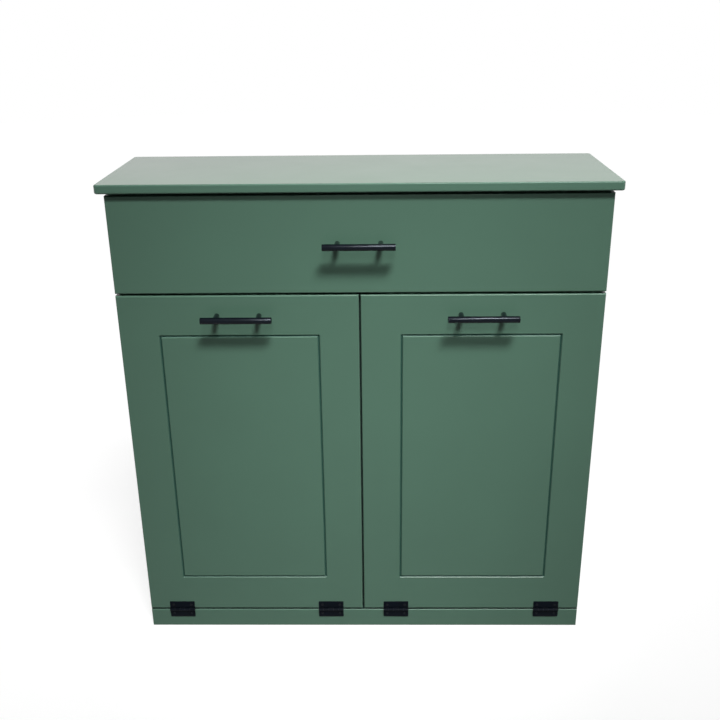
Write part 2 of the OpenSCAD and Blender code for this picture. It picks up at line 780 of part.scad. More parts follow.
release_lever(-1);  // left_release_lever
release_lever(1);  // right_release_lever
door_panel(-1);  // left_door_panel
pull_bar(-door_x, door_pull_z);  // left_door_pull_bar
pull_posts(-door_x, door_pull_z);  // left_door_pull_posts
hinge_door_leaves(-1);  // left_hinge_door_leaves
door_screws(-1);  // left_door_screws
carrier_floor(-1);  // left_carrier_floor
carrier_arms(-1);  // left_carrier_arms
carrier_back_rail(-1);  // left_carrier_back_rail
strike_plate(-1);  // left_strike_plate
door_panel(1);  // right_door_panel
pull_bar(door_x, door_pull_z);  // right_door_pull_bar
pull_posts(door_x, door_pull_z);  // right_door_pull_posts
hinge_door_leaves(1);  // right_hinge_door_leaves
door_screws(1);  // right_door_screws
carrier_floor(1);  // right_carrier_floor
carrier_arms(1);  // right_carrier_arms
carrier_back_rail(1);  // right_carrier_back_rail
strike_plate(1);  // right_strike_plate
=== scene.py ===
# %% [markdown]
# # Tilt-out trash cabinet
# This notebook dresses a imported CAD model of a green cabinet: one wide drawer above two doors that
# tilt out on bottom hinges. The CAD model already stands in metres with its front towards -Y, so the
# cells below only add finishes, small hardware, light and a camera, and nothing has to be fitted.

# %% Load the frame
import math
import bmesh
import bpy
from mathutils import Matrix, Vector


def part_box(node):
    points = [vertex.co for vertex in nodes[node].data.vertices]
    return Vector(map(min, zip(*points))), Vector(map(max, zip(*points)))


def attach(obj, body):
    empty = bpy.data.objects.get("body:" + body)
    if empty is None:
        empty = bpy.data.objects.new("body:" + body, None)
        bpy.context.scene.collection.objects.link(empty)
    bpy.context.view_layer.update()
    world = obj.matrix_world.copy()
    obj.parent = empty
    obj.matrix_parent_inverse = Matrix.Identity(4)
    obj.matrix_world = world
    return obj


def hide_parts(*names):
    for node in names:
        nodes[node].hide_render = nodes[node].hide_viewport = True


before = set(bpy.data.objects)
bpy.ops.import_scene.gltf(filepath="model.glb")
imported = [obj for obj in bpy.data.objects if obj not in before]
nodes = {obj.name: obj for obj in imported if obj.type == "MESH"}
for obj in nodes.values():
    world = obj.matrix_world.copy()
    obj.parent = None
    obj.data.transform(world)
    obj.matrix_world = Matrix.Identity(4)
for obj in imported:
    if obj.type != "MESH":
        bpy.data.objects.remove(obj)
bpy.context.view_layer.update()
bpy.ops.object.select_all(action="DESELECT")

# %% [markdown]
# ## The camera
# The photograph looks down on the cabinet from standing height. Fitting a pinhole camera to the edges
# of the top, the drawer, the doors and the hinges gives its place, its turn and its lens. A small
# shift stands for the way the picture was cropped.

# %% Camera
camera_data = bpy.data.cameras.new("photo_camera")
camera_data.sensor_width = 36.0
camera_data.lens = 47.0419
camera_data.shift_x = -0.00616
camera_data.shift_y = 0.03472
camera = bpy.data.objects.new("photo_camera", camera_data)
bpy.context.scene.collection.objects.link(camera)
camera.location = (0.0368475, -1.7353179, 1.2132468)
camera.rotation_euler = [math.radians(angle) for angle in (67.2904, 0.5837, 0.8258)]
bpy.context.scene.camera = camera
bpy.context.scene.view_settings.view_transform = "Standard"
print("camera stands", round(camera.location.length, 3), "m from the middle of the floor")

# %% [markdown]
# ## Small helpers for node trees
# A material is a tree of nodes. Building trees by hand in code gets long, so one helper adds a node,
# fills its sockets and connects what is already a socket. Every later tree is made with it.

# %% Node helpers
def put(tree, kind, sockets=(), **settings):
    """Adds a node, applies its settings, and fills or connects the sockets given by name or number."""
    made = tree.nodes.new(kind)
    for name, value in settings.items():
        setattr(made, name, value)
    for name, value in dict(sockets).items():
        if isinstance(value, bpy.types.NodeSocket):
            tree.links.new(value, made.inputs[name])
        else:
            made.inputs[name].default_value = value
    return made


def calc(tree, operation, first, second=0.0, third=0.0):
    """One step of arithmetic on numbers or sockets."""
    return put(tree, "ShaderNodeMath", {0: first, 1: second, 2: third}, operation=operation).outputs[0]


def blend_colors(tree, share, low, high):
    """Mixes two colours by a share from 0 to 1."""
    return put(tree, "ShaderNodeMix", {"Factor": share, 6: low, 7: high}, data_type="RGBA").outputs[2]


def remap(tree, value, low, high, new_low, new_high):
    """Stretches a value from one range to another and stops at its ends."""
    made = put(tree, "ShaderNodeMapRange", {"Value": value, "From Min": low, "From Max": high,
                                            "To Min": new_low, "To Max": new_high})
    return made.outputs["Result"]


def new_group(name, inputs, outputs):
    """Starts a shader node group with named sockets and gives its tree, its entry and its exit."""
    tree = bpy.data.node_groups.new(name, "ShaderNodeTree")
    for socket_name, (kind, value) in inputs.items():
        socket = tree.interface.new_socket(socket_name, in_out="INPUT", socket_type="NodeSocket" + kind)
        if value is not None:
            socket.default_value = value
    for socket_name, kind in outputs.items():
        tree.interface.new_socket(socket_name, in_out="OUTPUT", socket_type="NodeSocket" + kind)
    return tree, tree.nodes.new("NodeGroupInput").outputs, tree.nodes.new("NodeGroupOutput").inputs


def new_material(name):
    """Starts a material and gives it with its tree, its shader and its texture coordinates."""
    material = bpy.data.materials.new(name)
    material.use_nodes = True
    tree = material.node_tree
    return material, tree, tree.nodes["Principled BSDF"], tree.nodes.new("ShaderNodeTexCoord").outputs


def add_bump(tree, shader, height, strength, distance):
    """Feeds a height to the shader's normal through a Bump node."""
    bump = put(tree, "ShaderNodeBump", {"Height": height, "Strength": strength, "Distance": distance})
    tree.links.new(bump.outputs["Normal"], shader.inputs["Normal"])


print("node helpers ready")

# %% [markdown]
# ## Sprayed skin
# Sprayed and rolled coatings dry with a very fine waviness that painters call orange peel, and with
# slow drifts in tone where the coat is thicker. Both the green paint and the black metal coats show
# it, at different sizes, so it is one group: it gives a height for a Bump node and a drift value.
# A Noise Texture mostly stays between 0.3 and 0.7, and remapping that range makes it fill 0 to 1.

# %% Group: sprayed skin
NOISE_LOW = 0.3
NOISE_HIGH = 0.7
skin, enter, leave = new_group(
    "sprayed_skin",
    {"Vector": ("Vector", None), "Waves per Metre": ("Float", 600.0), "Drift per Metre": ("Float", 7.0)},
    {"Height": "Float", "Drift": "Float"})
waves = put(skin, "ShaderNodeTexNoise", {"Vector": enter["Vector"], "Scale": enter["Waves per Metre"],
                                         "Detail": 2.0, "Roughness": 0.45})
drift = put(skin, "ShaderNodeTexNoise", {"Vector": enter["Vector"], "Scale": enter["Drift per Metre"],
                                         "Detail": 3.0, "Roughness": 0.55})
skin.links.new(waves.outputs["Fac"], leave["Height"])
skin.links.new(remap(skin, drift.outputs["Fac"], NOISE_LOW, NOISE_HIGH, 0.0, 1.0), leave["Drift"])
print("group", skin.name)

# %% [markdown]
# ## Edges and corners
# Outer edges and inner corners come from the Ambient Occlusion node: traced inwards it darkens at outer
# edges, traced outwards at inner corners. The green paint takes a painted highlight on the edges and
# painted shade in the corners, where a little dust also dulls the coat; the black coats wear paler at
# their edges. It only looks at the piece itself, so the pattern stays when a door moves.

# %% Group: edges and corners
FLAT_FACE = 0.95
FULL_EDGE = 0.55
FULL_CORNER = 0.60
rims, enter, leave = new_group("edges_and_corners", {"Reach": ("Float", 0.004)},
                               {"Edge": "Float", "Corner": "Float"})
inward = put(rims, "ShaderNodeAmbientOcclusion", {"Distance": enter["Reach"]},
             samples=6, inside=True, only_local=True)
outward = put(rims, "ShaderNodeAmbientOcclusion", {"Distance": enter["Reach"]},
              samples=6, only_local=True)
rims.links.new(remap(rims, inward.outputs["AO"], FLAT_FACE, FULL_EDGE, 0.0, 1.0), leave["Edge"])
rims.links.new(remap(rims, outward.outputs["AO"], FLAT_FACE, FULL_CORNER, 0.0, 1.0), leave["Corner"])
print("group", rims.name)

# %% [markdown]
# ## Birch plywood
# The drawer box and the bin carriers are birch plywood under clear lacquer. The broad faces are rotary
# cut: long, soft, wandering figure with short dark pores. The sawn edges show the plies, light where
# the grain runs along the edge and darker where it ends, with thin glue lines. The group works in the
# board's own directions: X along the grain, Y across it and Z through the thickness from the middle.

# %% Group: birch plywood
FIGURE_STRETCH = (1.0, 9.0, 9.0)
PORE_STRETCH = (90.0, 1500.0, 1500.0)
PORES_START = 0.60
PORES_FULL = 0.70
RINGS = 46.0
RING_SHARE = 0.32
PORE_SHARE = 0.35
FIGURE_SHARE = 0.35
ply, enter, leave = new_group(
    "birch_plywood",
    {"Vector": ("Vector", None), "Normal": ("Vector", None), "Thickness": ("Float", 0.012),
     "Plies": ("Float", 9.0), "Light": ("Color", (0.68, 0.50, 0.31, 1.0)),
     "Dark": ("Color", (0.50, 0.33, 0.18, 1.0)), "Glue": ("Color", (0.22, 0.12, 0.055, 1.0))},
    {"Color": "Color", "Height": "Float", "Drift": "Float"})
along = put(ply, "ShaderNodeMapping", {"Vector": enter["Vector"], "Scale": FIGURE_STRETCH})
figure = put(ply, "ShaderNodeTexNoise", {"Vector": along.outputs[0], "Scale": 2.6, "Detail": 4.0,
                                         "Roughness": 0.55, "Distortion": 0.9})
ring_line = calc(ply, "SINE", calc(ply, "MULTIPLY", figure.outputs["Fac"], RINGS))
ring_line = calc(ply, "MULTIPLY_ADD", ring_line, 0.5, 0.5)
pore_place = put(ply, "ShaderNodeMapping", {"Vector": enter["Vector"], "Scale": PORE_STRETCH})
pores = put(ply, "ShaderNodeTexNoise", {"Vector": pore_place.outputs[0], "Scale": 1.0, "Detail": 1.0})
pore_mask = remap(ply, pores.outputs["Fac"], PORES_START, PORES_FULL, 0.0, 1.0)
face_share = calc(ply, "MULTIPLY_ADD", pore_mask, PORE_SHARE, calc(ply, "MULTIPLY", ring_line, RING_SHARE))
face_share = calc(ply, "ADD", face_share, remap(ply, figure.outputs["Fac"], 0.35, 0.65, 0.0, FIGURE_SHARE))
face_color = blend_colors(ply, face_share, enter["Light"], enter["Dark"])
print("faces of group", ply.name)

# %% Group: birch plywood, its sawn edges
GLUE_STARTS = 0.40
GLUE_FULL = 0.49
FIBRES_PER_METRE = 2200.0
FIBRE_SHARE = 0.4
END_GRAIN_SHARE = 0.55
RING_RELIEF = 0.4
PORE_RELIEF = -1.0
split = put(ply, "ShaderNodeSeparateXYZ", {0: enter["Vector"]})
layer = calc(ply, "DIVIDE", split.outputs["Z"], enter["Thickness"])
layer = calc(ply, "MULTIPLY_ADD", layer, enter["Plies"], 0.5)
from_middle = calc(ply, "ABSOLUTE", calc(ply, "SUBTRACT", calc(ply, "FRACT", layer), 0.5))
glue = remap(ply, from_middle, GLUE_STARTS, GLUE_FULL, 0.0, 1.0)
odd = calc(ply, "GREATER_THAN", calc(ply, "FLOORED_MODULO", calc(ply, "FLOOR", layer), 2.0), 0.5)
fibres = put(ply, "ShaderNodeTexNoise", {"Vector": enter["Vector"], "Scale": FIBRES_PER_METRE,
                                         "Detail": 2.0})
fibre_share = remap(ply, fibres.outputs["Fac"], 0.4, 0.7, 0.0, FIBRE_SHARE)
edge_share = calc(ply, "MULTIPLY_ADD", odd, END_GRAIN_SHARE, fibre_share)
edge_color = blend_colors(ply, edge_share, enter["Light"], enter["Dark"])
edge_color = blend_colors(ply, glue, edge_color, enter["Glue"])
facing = put(ply, "ShaderNodeSeparateXYZ", {0: enter["Normal"]})
is_edge = calc(ply, "LESS_THAN", calc(ply, "ABSOLUTE", facing.outputs["Z"]), 0.5)
ply.links.new(blend_colors(ply, is_edge, face_color, edge_color), leave["Color"])
pore_dip = calc(ply, "MULTIPLY", pore_mask, PORE_RELIEF)
ply.links.new(calc(ply, "MULTIPLY_ADD", ring_line, RING_RELIEF, pore_dip), leave["Height"])
ply.links.new(figure.outputs["Fac"], leave["Drift"])
print("group", ply.name)

# %% [markdown]
# ## Plated sheet
# Bright zinc plating keeps the faint rolling lines of the steel strip below it and clouds over with
# patches of slightly different gloss. The group stretches one noise along the strip for the lines and
# uses a coarse cell pattern for the patches.

# %% Group: plated sheet
LINE_STRETCH = (1.0, 0.02, 1.0)
PATCHES_PER_METRE = 160.0
plated, enter, leave = new_group(
    "plated_sheet", {"Vector": ("Vector", None), "Lines per Metre": ("Float", 3000.0)},
    {"Lines": "Float", "Patches": "Float"})
rolled = put(plated, "ShaderNodeMapping", {"Vector": enter["Vector"], "Scale": LINE_STRETCH})
lines = put(plated, "ShaderNodeTexNoise", {"Vector": rolled.outputs[0], "Scale": enter["Lines per Metre"],
                                           "Detail": 2.0})
patches = put(plated, "ShaderNodeTexVoronoi", {"Vector": enter["Vector"], "Scale": PATCHES_PER_METRE},
              feature="SMOOTH_F1")
plated.links.new(lines.outputs["Fac"], leave["Lines"])
plated.links.new(remap(plated, patches.outputs["Distance"], 0.1, 0.8, 0.0, 1.0), leave["Patches"])
print("group", plated.name)

# %% [markdown]
# ## Satin green paint, with painted highlight and painted shade
# The whole outside wears one satin sage green. Its colour drifts by a few percent, and its roughness
# follows the same drift. The eased edges are painted a little lighter as a painted highlight and the
# routed grooves much deeper as painted shade. The face of the top is rubbed to a clear gloss and takes
# a warmer copy of the green, painted for the warm light on the top. The seams between the fronts look
# nearly black in the photograph, so the inside of the case is painted a near-black coat that stands in
# for the shade in the seams. A board of the case that is seen from both sides takes that coat on the
# faces that look inwards, which their normals tell. So does the upper edge of the base rail, in the
# seam below the doors.

# %% Colours of the paint
SAGE_TONE = (0.067, 0.136, 0.097)
TOP_TONE = (0.074, 0.151, 0.109)
# painted light: a warmer copy of the green for faces that look up, standing in for the warm light on the top
WARM_LIGHT_TOP_TONE = (0.070, 0.142, 0.090, 1.0)
# painted shade: a near-black tone for the inside of the case, standing in for the shade in the seams
SHADE_PRIMER_TONE = (0.014, 0.027, 0.025)
PAINT_DRIFT = 0.02
SHADE_PRIMER_DRIFT = 0.1
# painted highlight: how much paler the tone is made on the eased outer edges
EDGE_HIGHLIGHT_PALER = 1.12
EDGE_HIGHLIGHT_LIFT = 0.006
EDGE_HIGHLIGHT_SHARE = 0.5
# painted shade: how much deeper the tone is made in inner corners and grooves
PAINTED_CORNER_SHADE = (0.25, 0.45, 0.50)


def drifting_tone(tree, share, tone, drift):
    """A tone that a share from 0 to 1 makes this much deeper or paler."""
    deep = [channel * (1 - drift) for channel in tone] + [1.0]
    pale = [channel * (1 + drift) for channel in tone] + [1.0]
    return blend_colors(tree, share, deep, pale)


print("paint drifts by", PAINT_DRIFT, "and primer by", SHADE_PRIMER_DRIFT)

# %% Material: paint, with painted highlight and painted shade
POLISH_ROUGHNESS = 0.15
DULLER_IN_CORNERS = 0.30
FACES_STRAIGHT = 0.95


def sprayed_paint(name, tone, waves_per_metre, smoothest, dullest, shine, polish=0.0, inward=None):
    """A sprayed coat with a painted highlight on its edges and painted shade in its corners.
    Polish and a warmer painted tint lie on faces that look up, and near-black painted shade on those that
    look inward.
    """
    material, tree, shader, place = new_material(name)
    coat = put(tree, "ShaderNodeGroup", {"Vector": place["Object"], "Waves per Metre": waves_per_metre},
               node_tree=skin).outputs
    rim_masks = put(tree, "ShaderNodeGroup", {}, node_tree=rims).outputs
    edge_highlight_tone = [channel * EDGE_HIGHLIGHT_PALER + EDGE_HIGHLIGHT_LIFT for channel in tone] + [1.0]
    corner_shade_tone = [channel * share for channel, share in zip(tone, PAINTED_CORNER_SHADE)] + [1.0]
    color = drifting_tone(tree, coat["Drift"], tone, PAINT_DRIFT)
    # painted highlight: the eased outer edges take a paler copy of the tone
    color = blend_colors(tree, calc(tree, "MULTIPLY", rim_masks["Edge"], EDGE_HIGHLIGHT_SHARE), color, edge_highlight_tone)
    # painted shade: inner corners and grooves take a much deeper copy of the tone
    color = blend_colors(tree, rim_masks["Corner"], color, corner_shade_tone)
    if polish:
        rise = put(tree, "ShaderNodeSeparateXYZ", {0: place["Normal"]}).outputs["Z"]
        upward = remap(tree, rise, FACES_STRAIGHT, 1.0, 0.0, 1.0)
        # painted light: faces that look up take the warmer copy of the green
        color = blend_colors(tree, upward, color, WARM_LIGHT_TOP_TONE)
        tree.links.new(calc(tree, "MULTIPLY", upward, polish), shader.inputs["Coat Weight"])
        shader.inputs["Coat Roughness"].default_value = POLISH_ROUGHNESS
    # painted shade: faces that look inward take the near-black coat that stands for the shade in the seams
    if inward:
        looks = put(tree, "ShaderNodeVectorMath", {0: place["Normal"], 1: inward}, operation="DOT_PRODUCT")
        inward_shade = calc(tree, "GREATER_THAN", looks.outputs["Value"], FACES_STRAIGHT)
        shade_undercoat = drifting_tone(tree, coat["Drift"], SHADE_PRIMER_TONE, SHADE_PRIMER_DRIFT)
        color = blend_colors(tree, inward_shade, color, shade_undercoat)
    tree.links.new(color, shader.inputs["Base Color"])
    roughness = remap(tree, coat["Drift"], 0.0, 1.0, smoothest, dullest)
    roughness = calc(tree, "MULTIPLY_ADD", rim_masks["Corner"], DULLER_IN_CORNERS, roughness)
    tree.links.new(roughness, shader.inputs["Roughness"])
    shader.inputs["Specular IOR Level"].default_value = shine
    add_bump(tree, shader, coat["Height"], strength=0.2, distance=0.00002)
    return material


SATIN = {"waves_per_metre": 420.0, "smoothest": 0.30, "dullest": 0.34, "shine": 0.20}
POLISHED = {"waves_per_metre": 420.0, "smoothest": 0.34, "dullest": 0.38, "shine": 0.20, "polish": 0.60}
FLAT = {"waves_per_metre": 360.0, "smoothest": 0.50, "dullest": 0.58, "shine": 0.30}
outside_paint = sprayed_paint("outside_green_paint", SAGE_TONE, **SATIN)
top_paint = sprayed_paint("top_green_paint", TOP_TONE, **POLISHED)
# painted shade: the near-black coat for the inside of the case
shade_primer = sprayed_paint("inside_dark_shade_coat", SHADE_PRIMER_TONE, **FLAT)
print("made", outside_paint.name, top_paint.name, shade_primer.name)

# %% [markdown]
# ## Black metal
# The pulls have a smooth satin black coat, and the hinges a duller one with a fine powder texture.
# Both are the same coat at another grain and roughness, and both wear to a slightly paler edge.

# %% Material: black metal
BLACK_TONE = (0.001, 0.002, 0.004)
BLACK_PALER = 1.5
WORN_TONE = (0.04, 0.04, 0.042, 1.0)
COLD_SHEEN = (0.80, 0.89, 1.0, 1.0)
BLACK_SPREAD = 0.03


def black_metal(name, waves_per_metre, depth, roughness, edge_share, shine):
    """A black coat on metal with its own grain, roughness and mirror share, and a cold sheen."""
    material, tree, shader, place = new_material(name)
    coat = put(tree, "ShaderNodeGroup", {"Vector": place["Object"], "Waves per Metre": waves_per_metre,
                                         "Drift per Metre": 60.0}, node_tree=skin).outputs
    rim_masks = put(tree, "ShaderNodeGroup", {"Reach": 0.0012}, node_tree=rims).outputs
    paler = [channel * BLACK_PALER for channel in BLACK_TONE] + [1.0]
    color = blend_colors(tree, coat["Drift"], BLACK_TONE + (1.0,), paler)
    worn = calc(tree, "MULTIPLY", rim_masks["Edge"], edge_share)
    color = blend_colors(tree, worn, color, WORN_TONE)
    tree.links.new(color, shader.inputs["Base Color"])
    duller = remap(tree, coat["Drift"], 0.0, 1.0, roughness - BLACK_SPREAD, roughness + BLACK_SPREAD)
    tree.links.new(duller, shader.inputs["Roughness"])
    shader.inputs["Specular IOR Level"].default_value = shine
    shader.inputs["Specular Tint"].default_value = COLD_SHEEN
    add_bump(tree, shader, coat["Height"], strength=0.4, distance=depth)
    return material


pull_coat = black_metal("pull_black_coat", waves_per_metre=700.0, depth=0.00001, roughness=0.22,
                        edge_share=0.05, shine=0.14)
hinge_coat = black_metal("hinge_black_coat", waves_per_metre=1900.0, depth=0.00003, roughness=0.42,
                         edge_share=0.25, shine=0.05)
print("made", pull_coat.name, hinge_coat.name)

# %% [markdown]
# ## Zinc and plastics
# The slides, their screws and the strike plates are zinc plated, with lines along the strip. The
# catches are brown moulded plastic and the release levers black, both with a faint spark-eroded grain.

# %% Material: zinc
ZINC_DEEP = (0.52, 0.54, 0.56, 1.0)
ZINC_PALE = (0.66, 0.67, 0.68, 1.0)
ZINC_SMOOTHEST = 0.24
ZINC_DULLEST = 0.40
CLOUDS_START = 0.3
CLOUDS_FULL = 1.5
zinc, tree, shader, place = new_material("bright_zinc")
sheet = put(tree, "ShaderNodeGroup", {"Vector": place["Object"]}, node_tree=plated).outputs
tone = blend_colors(tree, sheet["Patches"], ZINC_DEEP, ZINC_PALE)
tree.links.new(tone, shader.inputs["Base Color"])
shader.inputs["Metallic"].default_value = 1.0
clouds = calc(tree, "ADD", sheet["Lines"], sheet["Patches"])
roughness = remap(tree, clouds, CLOUDS_START, CLOUDS_FULL, ZINC_SMOOTHEST, ZINC_DULLEST)
tree.links.new(roughness, shader.inputs["Roughness"])
add_bump(tree, shader, sheet["Lines"], strength=0.3, distance=0.00002)
print("made", zinc.name)

# %% Material: moulded plastics
PLASTIC_PALER = 1.25
PLASTIC_SPREAD = 0.05


def moulded_plastic(name, tone, roughness):
    """A moulded plastic with a faint grain from its mould."""
    material, tree, shader, place = new_material(name)
    grain = put(tree, "ShaderNodeGroup", {"Vector": place["Object"], "Waves per Metre": 2600.0,
                                          "Drift per Metre": 90.0}, node_tree=skin).outputs
    paler = [channel * PLASTIC_PALER for channel in tone] + [1.0]
    color = blend_colors(tree, grain["Drift"], tone + (1.0,), paler)
    tree.links.new(color, shader.inputs["Base Color"])
    duller = remap(tree, grain["Height"], NOISE_LOW, NOISE_HIGH,
                   roughness - PLASTIC_SPREAD, roughness + PLASTIC_SPREAD)
    tree.links.new(duller, shader.inputs["Roughness"])
    add_bump(tree, shader, grain["Height"], strength=0.4, distance=0.00004)
    return material


brown_plastic = moulded_plastic("catch_brown_plastic", (0.085, 0.045, 0.025), roughness=0.42)
black_plastic = moulded_plastic("lever_black_plastic", (0.014, 0.014, 0.015), roughness=0.40)
print("made", brown_plastic.name, black_plastic.name)

# %% [markdown]
# ## Plywood, one material for each board
# The grain runs along the longest side of each board and the plies lie across its thinnest. A Mapping
# node turns the pattern for each of the directions in use, and moves it so that Z starts at the
# middle of the board, which puts the plies where a saw would show them.

# %% Material: plywood boards
TURNS = {"XYZ": (0, 0, 0), "XZY": (90, 0, 0), "YZX": (90, 0, 90), "ZYX": (0, 90, 0)}
WOOD_SMOOTHEST = 0.34
WOOD_DULLEST = 0.46
LACQUER_SHARE = 0.25
LACQUER_ROUGHNESS = 0.25


def plywood(name, middle, thickness, plies, order):
    """Plywood for one board: order names the axes along the grain, across it and through the board."""
    material, tree, shader, place = new_material(name)
    turn = [math.radians(angle) for angle in TURNS[order]]
    board = put(tree, "ShaderNodeMapping", {"Vector": place["Object"], "Location": middle, "Rotation": turn},
                vector_type="TEXTURE")
    way = put(tree, "ShaderNodeMapping", {"Vector": place["Normal"], "Rotation": turn}, vector_type="TEXTURE")
    wood = put(tree, "ShaderNodeGroup", {"Vector": board.outputs[0], "Normal": way.outputs[0],
                                         "Thickness": thickness, "Plies": plies}, node_tree=ply).outputs
    tree.links.new(wood["Color"], shader.inputs["Base Color"])
    roughness = remap(tree, wood["Drift"], NOISE_LOW, NOISE_HIGH, WOOD_SMOOTHEST, WOOD_DULLEST)
    tree.links.new(roughness, shader.inputs["Roughness"])
    add_bump(tree, shader, wood["Height"], strength=0.4, distance=0.00006)
    shader.inputs["Coat Weight"].default_value = LACQUER_SHARE
    shader.inputs["Coat Roughness"].default_value = LACQUER_ROUGHNESS
    return material


print("plywood directions:", ", ".join(TURNS))

# %% [markdown]
# ## Dress the CAD nodes
# Each node that keeps its CAD shape gets its material here. A plywood board gets one of its own,
# because the pattern starts from the middle of that board.

# %% Assign the finishes
# painted shade: the inside of the case takes the near-black coat that stands for the shade in the seams
SLOT_FINISH = {"cabinet_paint": outside_paint, "case_paint": shade_primer, "pull_black": pull_coat,
               "hinge_black": hinge_coat, "zinc_steel": zinc, "catch_plastic": brown_plastic,
               "lever_plastic": black_plastic}


def finish_node(name, material):
    """Puts one material on every slot of a CAD node."""
    for slot in nodes[name].material_slots:
        slot.material = material


for name, node in nodes.items():
    slot_name = node.material_slots[0].material.name.split(".")[0]
    if slot_name in SLOT_FINISH:
        finish_node(name, SLOT_FINISH[slot_name])
finish_node("top_slab", top_paint)
# painted shade: the inner faces of these boards and the upper edge of the base rail take the near-black coat
INWARD = {"left_side_panel": (1.0, 0.0, 0.0), "right_side_panel": (-1.0, 0.0, 0.0),
          "back_panel": (0.0, -1.0, 0.0), "base_rail": (0.0, 0.0, 1.0)}
for name, inward in INWARD.items():
    finish_node(name, sprayed_paint(name + "_paint", SAGE_TONE, inward=inward, **SATIN))
print("finished", len(nodes), "nodes")

# %% Assign the plywood
BOARD_ORDER = {"drawer_box_front": "XZY", "drawer_box_back": "XZY", "drawer_left_side": "YZX",
               "drawer_right_side": "YZX", "drawer_bottom": "XYZ", "left_carrier_back_rail": "XZY",
               "right_carrier_back_rail": "XZY", "left_carrier_floor": "XYZ", "right_carrier_floor": "XYZ",
               "left_carrier_arms": "ZYX", "right_carrier_arms": "ZYX", "stop_cleats": "ZYX"}
PAIRED_BOARDS = {"left_carrier_arms": 0.012, "right_carrier_arms": 0.012, "stop_cleats": 0.010}
THIN_BOARD = 0.008
THIN_PLIES = 5.0
THICK_PLIES = 9.0
for name, order in BOARD_ORDER.items():
    low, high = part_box(name)
    middle = (low + high) / 2
    thickness = (high - low)["XYZ".index(order[2])]
    if name in PAIRED_BOARDS:
        thickness = PAIRED_BOARDS[name]
        middle.x = high.x - thickness / 2
    plies = THICK_PLIES if thickness > THIN_BOARD else THIN_PLIES
    finish_node(name, plywood(name + "_plywood", middle, thickness, plies, order))
print("plywood on", len(BOARD_ORDER), "nodes")

# %% [markdown]
# ## Helpers for modelling
# The small hardware is modelled with the same operators that a hand would use. Operators act on what is
# selected, so one helper selects pieces alone, and another selects faces or edges by their place.

# %% Modelling helpers
QUARTER = math.radians(90)
SMOOTH_BELOW = math.radians(35)
TINY = 1e-6
STRAIGHT = 0.99


def only(*pieces):
    """Selects these pieces alone and makes the first one active."""
    bpy.ops.object.select_all(action="DESELECT")
    for piece in pieces:
        piece.select_set(True)
    bpy.context.view_layer.objects.active = pieces[0]


def settle(name):
    """Names the new primitive, applies its place to its mesh and opens it in edit mode."""
    piece = bpy.context.object
    piece.name = name
    bpy.ops.object.transform_apply(location=True, rotation=True, scale=True)
    bpy.ops.object.mode_set(mode="EDIT")
    return piece


def pick(kind, test):
    """In edit mode, selects only the faces or edges that pass a test."""
    bpy.ops.mesh.select_mode(type=kind)
    bpy.ops.mesh.select_all(action="DESELECT")
    mesh = bpy.context.edit_object.data
    shape = bmesh.from_edit_mesh(mesh)
    chosen = [part for part in (shape.faces if kind == "FACE" else shape.edges) if test(part)]
    for part in chosen:
        part.select_set(True)
    shape.select_flush_mode()
    bmesh.update_edit_mesh(mesh)


def on_plane(edge, axis, value):
    """Tells whether an edge lies in the plane where one coordinate has this value."""
    return all(abs(vertex.co[axis] - value) < TINY for vertex in edge.verts)


def is_cap(face):
    """Tells the many-sided end of a cylinder from the four-sided faces around it."""
    return len(face.verts) > 4


def close_up():
    """Turns all faces outwards and leaves edit mode."""
    bpy.ops.mesh.select_all(action="SELECT")
    bpy.ops.mesh.remove_doubles(threshold=TINY)
    bpy.ops.mesh.normals_make_consistent(inside=False)
    bpy.ops.object.mode_set(mode="OBJECT")


def cut_with(piece, cutter):
    """Subtracts one mesh from another, and deletes the cutter."""
    only(piece)
    cut = piece.modifiers.new("cut", "BOOLEAN")
    cut.object = cutter
    cut.solver = "EXACT"
    bpy.ops.object.modifier_apply(modifier=cut.name)
    bpy.data.objects.remove(cutter)


def copy_of(piece, name, shift):
    """Duplicates a piece with a mesh of its own, moves it and applies the move."""
    only(piece)
    bpy.ops.object.duplicate(linked=False)
    twin = bpy.context.object
    twin.name = name
    bpy.ops.transform.translate(value=shift)
    bpy.ops.object.transform_apply(location=True, rotation=True, scale=True)
    return twin


def joined(name, pieces):
    """Joins pieces into the first one."""
    only(*pieces)
    bpy.ops.object.join()
    pieces[0].name = name
    return pieces[0]


def hand_over(piece, body, material, replaced):
    """Smooths a finished piece, gives it its finish, fixes it to its body and hides the node it replaces."""
    only(piece)
    bpy.ops.object.shade_smooth_by_angle(angle=SMOOTH_BELOW)
    piece.data.materials.clear()
    piece.data.materials.append(material)
    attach(piece, body)
    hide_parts(replaced)
    print(piece.name, "rides on", body, "with", len(piece.data.polygons), "faces")


print("modelling helpers ready")

# %% [markdown]
# ## Bar pulls
# Each pull is a solid round bar, turned on a lathe, so its ends have a small round-over and a faint
# dished face. It could be spun from a profile. A cylinder with bevelled rims and inset ends gives the
# same shape with cleaner faces along the bar.

# %% Bar of the drawer pull
bar_low, bar_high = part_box("drawer_pull_bar")
bar_middle = (bar_low + bar_high) / 2
bar_length = bar_high.x - bar_low.x
bar_radius = (bar_high.z - bar_low.z) / 2
BAR_ROUND = 0.0007
DISH_RIM = 0.0012
DISH_DEPTH = 0.00025

